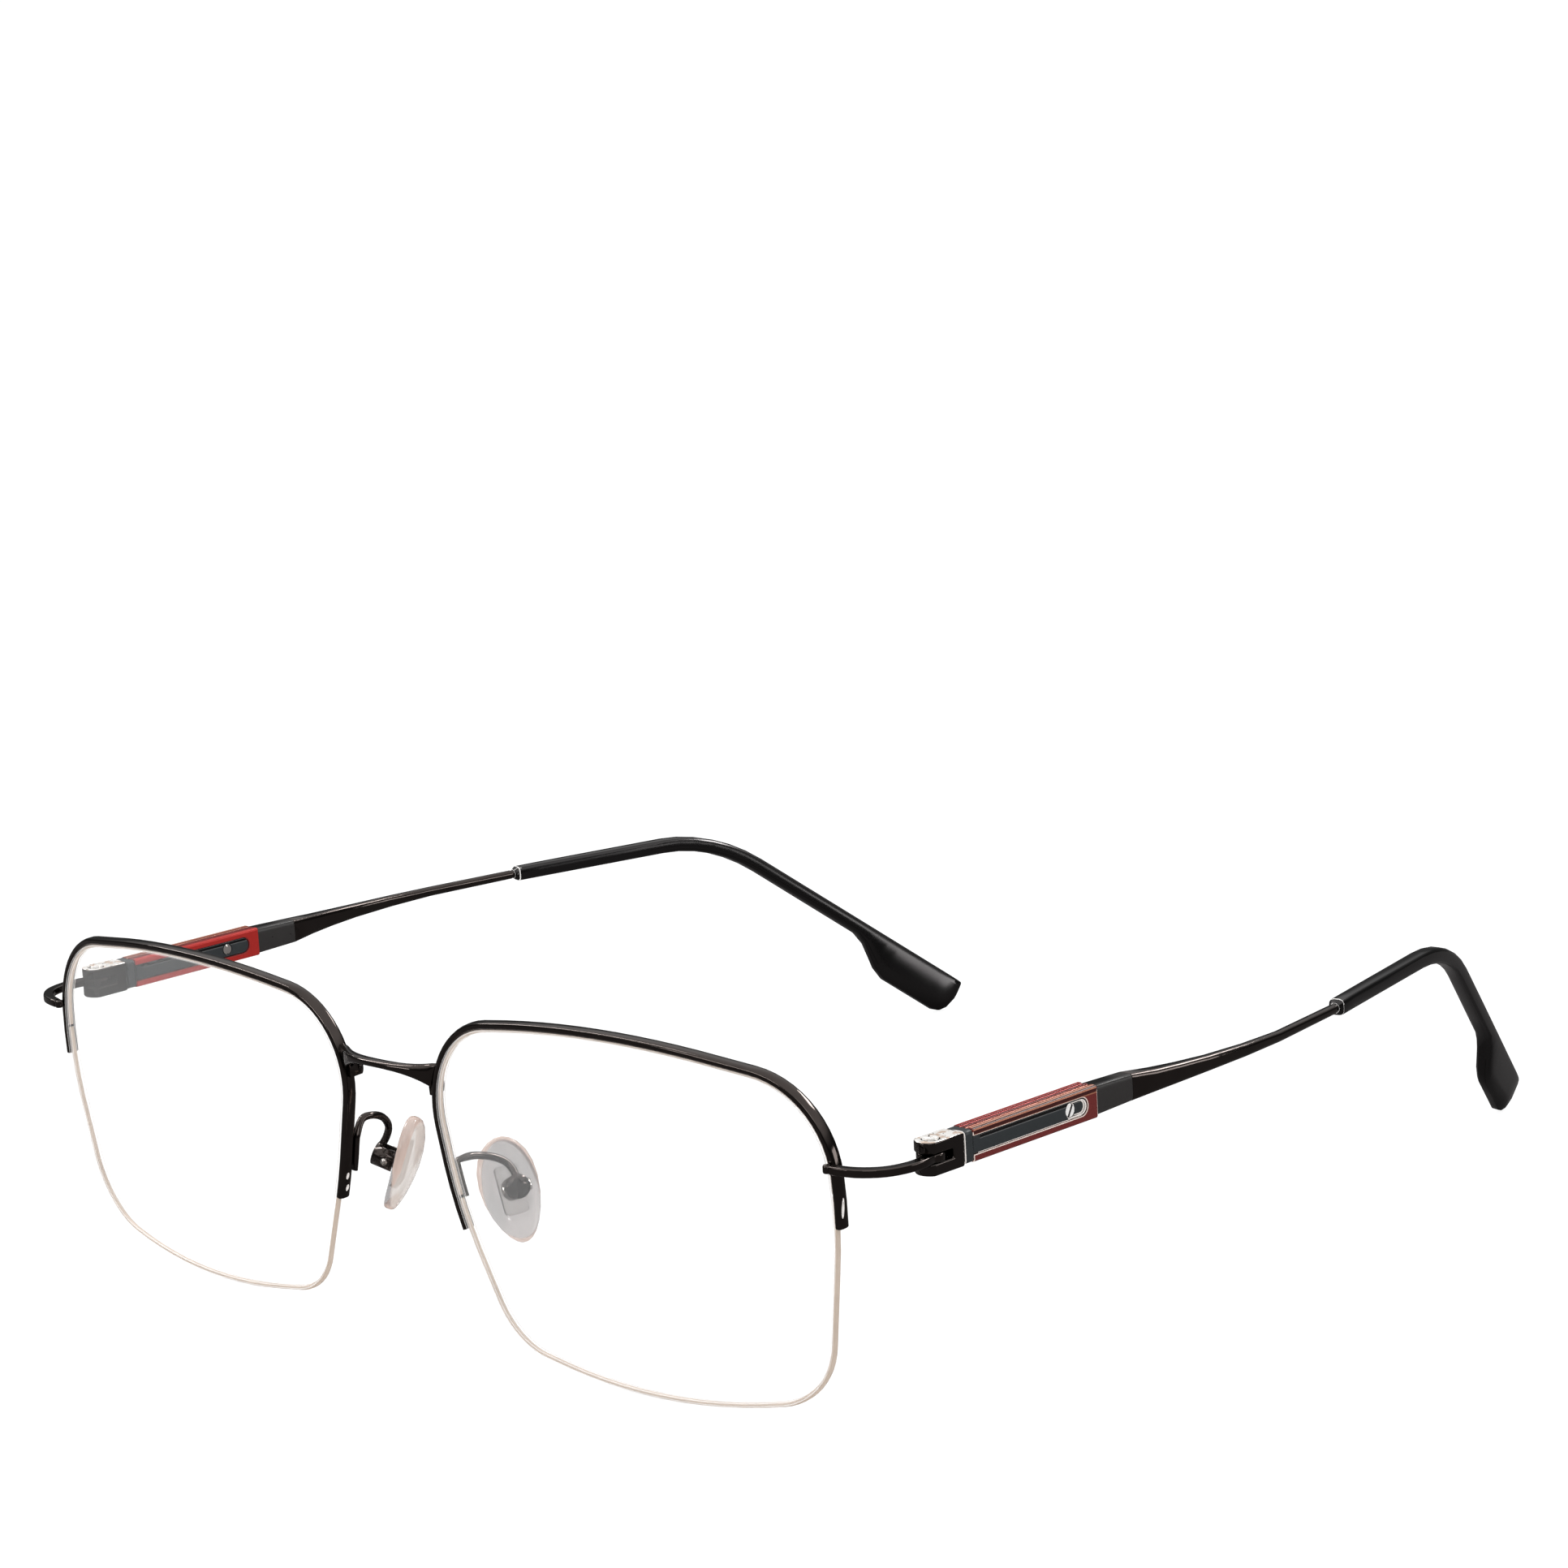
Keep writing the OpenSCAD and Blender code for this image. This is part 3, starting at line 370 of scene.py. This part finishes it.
# ---------------------------------------------------------------- nose pads
# Clear rounded silicone pads, each moulded round a small clear plate whose eye swings on
# a screw in the arm's box. A pad's rim gathers a rose-beige line. The values are the right
# pad's middle, in mm, and its directions.
pad_middle = (9.55, -68.135, 17.978)
pad_across = (0.420, 0.902, 0.102)
pad_along = (-0.371, 0.068, 0.926)
pad_out = (0.828, -0.427, 0.363)
half_across, half_along = 3.75, 6.5
silicone = Finish("silicone")
x, y, z = silicone.object_xyz()
local = [value - middle for value, middle in zip((abs(x), y, z), pad_middle)]
u, v, w = (sum((value * part for value, part in zip(local, way)), 0.0)
           for way in (pad_across, pad_along, pad_out))
from_middle = ((u / half_across) ** 2.0 + (v / half_along) ** 2.0) ** 0.5
# The side facing the lens is painted a swirled dark grey, a painted shadow of the plate and arm
# behind it; the nose side is beige.
lens_side = w.over(0.1, 0.5)
swirl = silicone.noise(silicone.point(u * 0.3, v * 0.12, 0.0), 1.0, 2).over(0.5, 0.2)
pad_rim = from_middle.over(0.93, 0.05)
nose_beige_lens_shade = silicone.mix(lens_side, (0.84, 0.76, 0.70),
                      silicone.mix(swirl, (0.07, 0.066, 0.07), (0.30, 0.27, 0.27)))
soft_pad = silicone.surface(
    Base_Color=silicone.mix(pad_rim, nose_beige_lens_shade, (0.62, 0.48, 0.42)),
    Alpha=0.50 - 0.05 * lens_side + 0.36 * pad_rim + 0.06 * swirl, Roughness=0.10, IOR=1.42,
    Specular_IOR_Level=0.6)
moulded = Finish("moulded_plate")
x, y, z = moulded.object_xyz()
clear_plate = moulded.surface(
    Base_Color=(0.62, 0.58, 0.56), Alpha=0.14 + 0.1 * moulded.noise(
        moulded.point(x, y, z), 1.2, 2), Roughness=0.2, IOR=1.5)
nickel = Finish("bare_nickel")
x, y, z = nickel.object_xyz()
bare_nickel = nickel.surface(
    Base_Color=(0.80, 0.76, 0.72), Metallic=1.0,
    Roughness=0.14 + 0.12 * nickel.noise(nickel.point(x, y, z), 4.0, 2))
for side in SIDES:
    dress(side + "_nose_pad", soft_pad, 60)
    dress(side + "_pad_insert", clear_plate)
    dress(side + "_pad_screw", bare_nickel)

# ---------------------------------------------------------------- hinges
# Black-plated blocks whose polished tops are painted pale with brown and dark patches, a painted
# reflection of the bright room above, each turning on a screw with the same finish. The nickel
# spring and its bush lie hidden in the temple behind the block.
block_top = 33.93
hinge_top_paint = Finish("hinge_block_painted_top")
x, y, z = hinge_top_paint.object_xyz()
top = z.over(block_top, 0.06)
patch = hinge_top_paint.noise(hinge_top_paint.point(x, y, 0.0), 0.75, 2, 0.55).over(0.56, 0.10)
spot = hinge_top_paint.noise(hinge_top_paint.point(x, y, 0.0), 1.6, 2, 0.5).over(0.66, 0.05)
# The pale, less metallic top is a painted reflection, broken up by brown and dark patches.
bright = hinge_top_paint.mix(spot, hinge_top_paint.mix(patch, (0.88, 0.86, 0.83), (0.60, 0.47, 0.38)),
                  (0.10, 0.08, 0.07))
hinge_black = hinge_top_paint.surface(
    Base_Color=hinge_top_paint.mix(top, (0.060, 0.052, 0.049), bright), Metallic=1 - 0.75 * top,
    Roughness=0.09 + 0.16 * top + 0.05 * patch)
for side in SIDES:
    dress(side + "_hinge_clevis", hinge_black, 30, 0.22, None, 3)
    dress(side + "_hinge_screw", hinge_black, 30, 0.05)
    dress(side + "_spring_bush", bare_nickel)
    dress(side + "_hinge_spring", bare_nickel, 60)

# ---------------------------------------------------------------- sleeves
# Red anodised tubes. Copper and pale lines along their tops and outer sides are painted highlights,
# with painted shade in the dark red bands between them. Their inner sides are a livelier red, and
# the edges of their windows on the outer side are painted pale as highlights.
hinge_x, hinge_y, hinge_z = 75.5, -64.39, 32.05


def along(finish):
    """Places on a temple, in mm: outward and up from its middle line, and back from the hinge."""
    x, y, z = finish.object_xyz()
    return abs(x) - hinge_x, y - hinge_y, z - hinge_z


half_width, top_height = 1.5, 1.95
over_top = 0.286  # how much a millimetre over the top counts, so that its lines lie wider apart
pattern_width = 2.2  # from the top's inner edge to the last line on the outer side
burgundy, dark_red, inner_red = (0.165, 0.027, 0.025), (0.022, 0.005, 0.005), (0.40, 0.022, 0.018)
anodised = Finish("red_anodised")
outward, back, up = along(anodised)
across = over_top * (outward + half_width) + (top_height - up)
wander = 0.05 * (anodised.noise(anodised.point(outward, back * 0.12, up), 0.8, 2) - 0.5)
# The ramp paints light onto the burgundy: copper and pale lines are painted highlights and the dark
# red bands are painted shade.
lines = anodised.node("ShaderNodeValToRGB", {"stops": [
    (0.0, (0.15, 0.11, 0.13)), (0.02, burgundy), (0.245, burgundy), (0.285, (0.26, 0.08, 0.05)),
    (0.315, (0.45, 0.17, 0.11)), (0.335, (0.95, 0.60, 0.46)), (0.35, (0.24, 0.07, 0.045)),
    (0.38, dark_red), (0.43, dark_red), (0.46, (0.52, 0.24, 0.15)), (0.50, (0.34, 0.12, 0.07)),
    (0.54, (0.05, 0.011, 0.010)), (0.70, (0.06, 0.013, 0.012)), (0.735, (0.42, 0.18, 0.11)),
    (0.78, (0.30, 0.10, 0.06)), (0.80, burgundy)]},
    {"Fac": (across + wander) / pattern_width})["Color"]
inner_side = (0 - outward).over(0.75, 1.1)
red_metal = anodised.surface(
    Base_Color=anodised.mix(inner_side, lines, inner_red), Metallic=0.3,
    Roughness=0.17 + 0.10 * anodised.noise(anodised.point(outward, back * 0.1, up), 1.5, 2),
    Specular_IOR_Level=0.3)
edge_glint_paint = Finish("painted_edge_highlight")
outward, back, up = along(edge_glint_paint)
# Bevels on the outer side are painted pale with noise, as painted highlights; elsewhere they stay
# burgundy.
on_outer_side = outward.over(1.25, 0.1) * (1 - up.over(1.5, 0.1))
glint_colour = edge_glint_paint.mix(edge_glint_paint.noise(edge_glint_paint.point(outward, back, up), 0.5, 2), (0.50, 0.36, 0.29),
                 (0.95, 0.88, 0.83))
edge_highlight = edge_glint_paint.surface(Base_Color=edge_glint_paint.mix(on_outer_side, burgundy, glint_colour), Roughness=0.25,
                       Specular_IOR_Level=0.2)
for side in SIDES:
    dress(side + "_temple_sleeve", red_metal, 30, 0.09, edge_highlight)

# ---------------------------------------------------------------- cores, badges, core screws
# A slate-black core runs through each sleeve and shows in its windows as a stepped plate, near black
# and glossier above its step. Pale lines along its outlines on the outer side, and a grey line along
# its step, are painted highlights. A bright disc with a slanting dark line lies in the plate's
# recess, and a plain screw holds the core from the inner side.
plate_front, step_height = 6.6, 0.62
slate = Finish("slate")
outward, back, up = along(slate)
above_step = up.over(step_height, 0.04) * back.over(plate_front, 0.5)
# A grey line along the step is a painted highlight.
step_highlight = up.between(step_height - 0.1, step_height - 0.02, 0.03) * back.over(plate_front, 0.3)
slate_metal = slate.surface(
    Base_Color=slate.mix(above_step, slate.mix(step_highlight, (0.020, 0.0245, 0.027),
                         (0.11, 0.11, 0.11)), (0.0015, 0.0015, 0.0015)),
    Roughness=0.34 - 0.2 * above_step + 0.06 * slate.noise(
        slate.point(outward, back, up), 0.8, 2),
    Specular_IOR_Level=0.4)
recess_start, recess_end, recess_radius = 21.5, 23.92, 0.9
cap_start, cap_gap, plate_start = 4.3, 4.7, 6.2
plate = Finish("plate_edge")
outward, back, up = along(plate)
past_end = (back - recess_end).larger(0.0)
recess_line = 1 - ((past_end ** 2.0 + up * up) ** 0.5).over(recess_radius, 0.06)
lower_line = (0 - up).over(0.92, 0.06) * (1 - back.over(24.0, 0.3))
# Pale lines round the recess, along the plate's lower edge and at the cap's front are painted
# highlights.
outline_highlights = (recess_line * back.over(recess_start, 0.2)).larger(lower_line) * (
    1 - back.between(cap_gap, plate_start, 0.1))
cap_front = 1 - back.over(cap_start, 0.1)
outer_side = outward.over(0.0, 1.0)
plate_edge = plate.surface(
    Base_Color=plate.mix(outer_side * outline_highlights.larger(cap_front), (0.012, 0.015, 0.018),
                         (0.90, 0.84, 0.80)),
    Roughness=0.22 + 0.1 * plate.noise(plate.point(outward, back, up), 0.8, 2))
badge_middle = 22.1
badge = Finish("badge_face")
outward, back, up = along(badge)
slanting_line = (0.5 * up - 0.9 * (back - badge_middle) + 0.05).between(-0.16, 0.16, 0.05)
badge_face = badge.surface(
    Base_Color=badge.mix(slanting_line, (0.93, 0.92, 0.91), (0.02, 0.018, 0.018)), Metallic=0.2,
    Roughness=0.2 + 0.1 * badge.noise(badge.point(outward, back, up), 2.0, 2))
for side in SIDES:
    dress(side + "_temple_core", slate_metal, 30, 0.12, plate_edge)
    dress(side + "_badge_disc", badge_face, 30, 0.1)
    dress(side + "_core_screw", bare_nickel, 30, 0.05)

# ---------------------------------------------------------------- connectors and shafts
# A dull black block joins each sleeve to a bar that tapers to a wire, plated like the rims.
# The block's top is bare metal and shines more than its sides.
connector_top = 1.72
dull = Finish("dull_black_block")
outward, back, up = along(dull)
on_top = up.over(connector_top, 0.1)
dull_black = dull.surface(
    Base_Color=dull.mix(on_top, (0.024, 0.0222, 0.0216), (0.009, 0.008, 0.008)), Metallic=on_top,
    Roughness=0.26 - 0.12 * on_top + 0.06 * dull.noise(dull.point(outward, back, up), 0.6, 2),
    Specular_IOR_Level=0.3)
for side in SIDES:
    dress(side + "_temple_connector", dull_black, 40, 0.08)
    dress(side + "_temple_shaft", black_nickel, 40)

# ---------------------------------------------------------------- tips
# Glossy black sleeves pushed on the shafts and bent down behind the ears, each ending in a
# flat paddle. They are shaded as a dark metal, whose reflections stay as grey as the photo's,
# and the edge at the start of each is pale.
gloss = Finish("tip_gloss")
x, y, z = gloss.object_xyz()
tip_gloss = gloss.surface(
    Base_Color=(0.052, 0.050, 0.050), Metallic=1.0,
    Roughness=0.15 + 0.06 * gloss.noise(gloss.point(x, y, z), 0.2, 2))
tip_glint_paint = Finish("tip_edge")
x, y, z = tip_glint_paint.object_xyz()
tip_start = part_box("right_temple_tip")[0][1] * 1000
# The edge in the first millimetre of each tip is painted pale, a painted highlight.
past_start = y.over(tip_start + 1, 0.2)
tip_edge = tip_glint_paint.surface(
    Base_Color=tip_glint_paint.mix(past_start, (0.80, 0.78, 0.76), (0.036, 0.034, 0.034)),
    Metallic=past_start, Roughness=0.12)
for side in SIDES:
    dress(side + "_temple_tip", tip_gloss, 60, 0.08, tip_edge)

# ---------------------------------------------------------------- thread holes and slots
# The nylon cord is threaded through two small holes near each rim's inner end and shows in
# a slot near its outer end. Each is a softened stud of nylon, let into the rim's side.
def outlook(x, y):
    """The direction in which the camera sees an image point."""
    reach = FRAME * focal_length / sensor_width
    return (axes @ Vector((x - FRAME / 2, FRAME / 2 - y, -reach))).normalized()


def place_on(name, point):
    """Where the ray through an image point meets a piece: the place and its normal."""
    carrier = bpy.data.objects[name]
    tree = BVHTree.FromObject(carrier, bpy.context.evaluated_depsgraph_get())
    ray = outlook(*point)
    where, normal = tree.ray_cast(eye, ray)[:2]
    if where is None:
        distance = (Vector(carrier.bound_box[0]) - eye).length
        where, normal = tree.find_nearest(eye + ray * distance)[:2]
    return where, normal


def stud(name, where, normal, along_rim, long, wide, body):
    """A low oval stud of nylon, standing 0.06 mm out of the surface at where."""
    half_height, sunk = 0.00012, 0.00006
    bpy.ops.object.select_all(action="DESELECT")
    bpy.ops.mesh.primitive_cylinder_add(vertices=24, radius=1, depth=2)
    piece = bpy.context.object
    bpy.ops.object.mode_set(mode="EDIT")
    bpy.ops.mesh.select_all(action="SELECT")
    bpy.ops.mesh.bevel(offset=0.5, segments=3)
    bpy.ops.object.mode_set(mode="OBJECT")
    side_way = normal.cross(along_rim).normalized()
    turn = Matrix((side_way * wide / 2, normal.cross(side_way).normalized() * long / 2,
                   normal * half_height)).transposed().to_4x4()
    piece.data.transform(Matrix.Translation(where - normal * sunk) @ turn)
    piece.matrix_world = Matrix.Identity(4)
    piece.name = piece.data.name = name
    piece.data.materials.append(thread_white)
    bpy.ops.object.shade_smooth_by_angle(angle=math.radians(50))
    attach(piece, body)


thread = Finish("thread_white")
x, y, z = thread.object_xyz()
thread_white = thread.surface(
    Base_Color=thread.mix(thread.noise(thread.point(x, y, z), 2.0, 2), (0.90, 0.84, 0.80),
                          (0.96, 0.93, 0.91)), Roughness=0.3)
mirror = Vector((-1, 1, 1))
rim_rises = Vector((0, 0.1, 1))
for name, carrier, other, long, wide in (
        ("thread_hole_upper", "left", "right", 0.0009, 0.00042),
        ("thread_hole_lower", "left", "right", 0.0009, 0.00042),
        ("thread_slot", "right", "left", 0.0022, 0.0004)):
    where, normal = place_on(carrier + "_rim_finish", POINTS[name])
    run = rim_rises.cross(normal).cross(normal).normalized()
    stud(carrier + "_" + name, where, normal, run, long, wide, nodes[carrier + "_rim"]["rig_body"])
    stud(other + "_" + name, where * mirror, normal * mirror, run * mirror, long, wide,
         nodes[other + "_rim"]["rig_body"])

# ---------------------------------------------------------------- offsets of image points
# How far each image point lies from what it names, in pixels.
def shown(piece):
    """A piece's vertices in the photograph's frame."""
    reach = FRAME * focal_length / sensor_width
    places = []
    for vertex in piece.data.vertices:
        seen_at = axes.transposed() @ (vertex.co - eye)
        places.append((FRAME / 2 - reach * seen_at.x / seen_at.z,
                       FRAME / 2 + reach * seen_at.y / seen_at.z))
    return places


dressed = {name: shown(bpy.data.objects[name]) for name in bpy.data.objects.keys()
           if bpy.data.objects[name].type == "MESH" and name not in nodes and name != "table"}
every = [place for name, places in dressed.items() for place in places]
carriers = {
    "right_rim_inner_end": "right_rim_finish", "right_rim_outer_end": "right_rim_finish",
    "left_rim_inner_end": "left_rim_finish", "bridge_by_right_rim": "bridge_finish",
    "right_sleeve_back": "right_temple_sleeve_finish", "right_badge": "right_badge_disc_finish",
    "right_block_back": "right_temple_connector_finish",
    "left_core_screw": "left_core_screw_finish", "right_tip_front": "right_temple_tip_finish",
    "right_pad_bottom": "right_nose_pad_finish", "left_pad_bottom": "left_nose_pad_finish",
    "thread_hole_upper": "left_thread_hole_upper", "thread_hole_lower": "left_thread_hole_lower",
    "thread_slot": "right_thread_slot"}
centred = ("right_badge", "left_core_screw", "thread_hole_upper", "thread_hole_lower",
           "thread_slot")
off = {"object_left": [min(p[0] for p in every) - POINTS["object_left"][0], None],
       "object_right": [max(p[0] for p in every) - POINTS["object_right"][0], None],
       "object_top": [None, min(p[1] for p in every) - POINTS["object_top"][1]],
       "object_bottom": [None, max(p[1] for p in every) - POINTS["object_bottom"][1]]}
for name, piece in carriers.items():
    px, py = POINTS[name]
    if name in centred:
        xs, ys = zip(*dressed[piece])
        nearest = ((min(xs) + max(xs)) / 2, (min(ys) + max(ys)) / 2)
    else:
        nearest = min(dressed[piece], key=lambda p: math.dist(p, (px, py)))
    off[name] = [nearest[0] - px, nearest[1] - py]
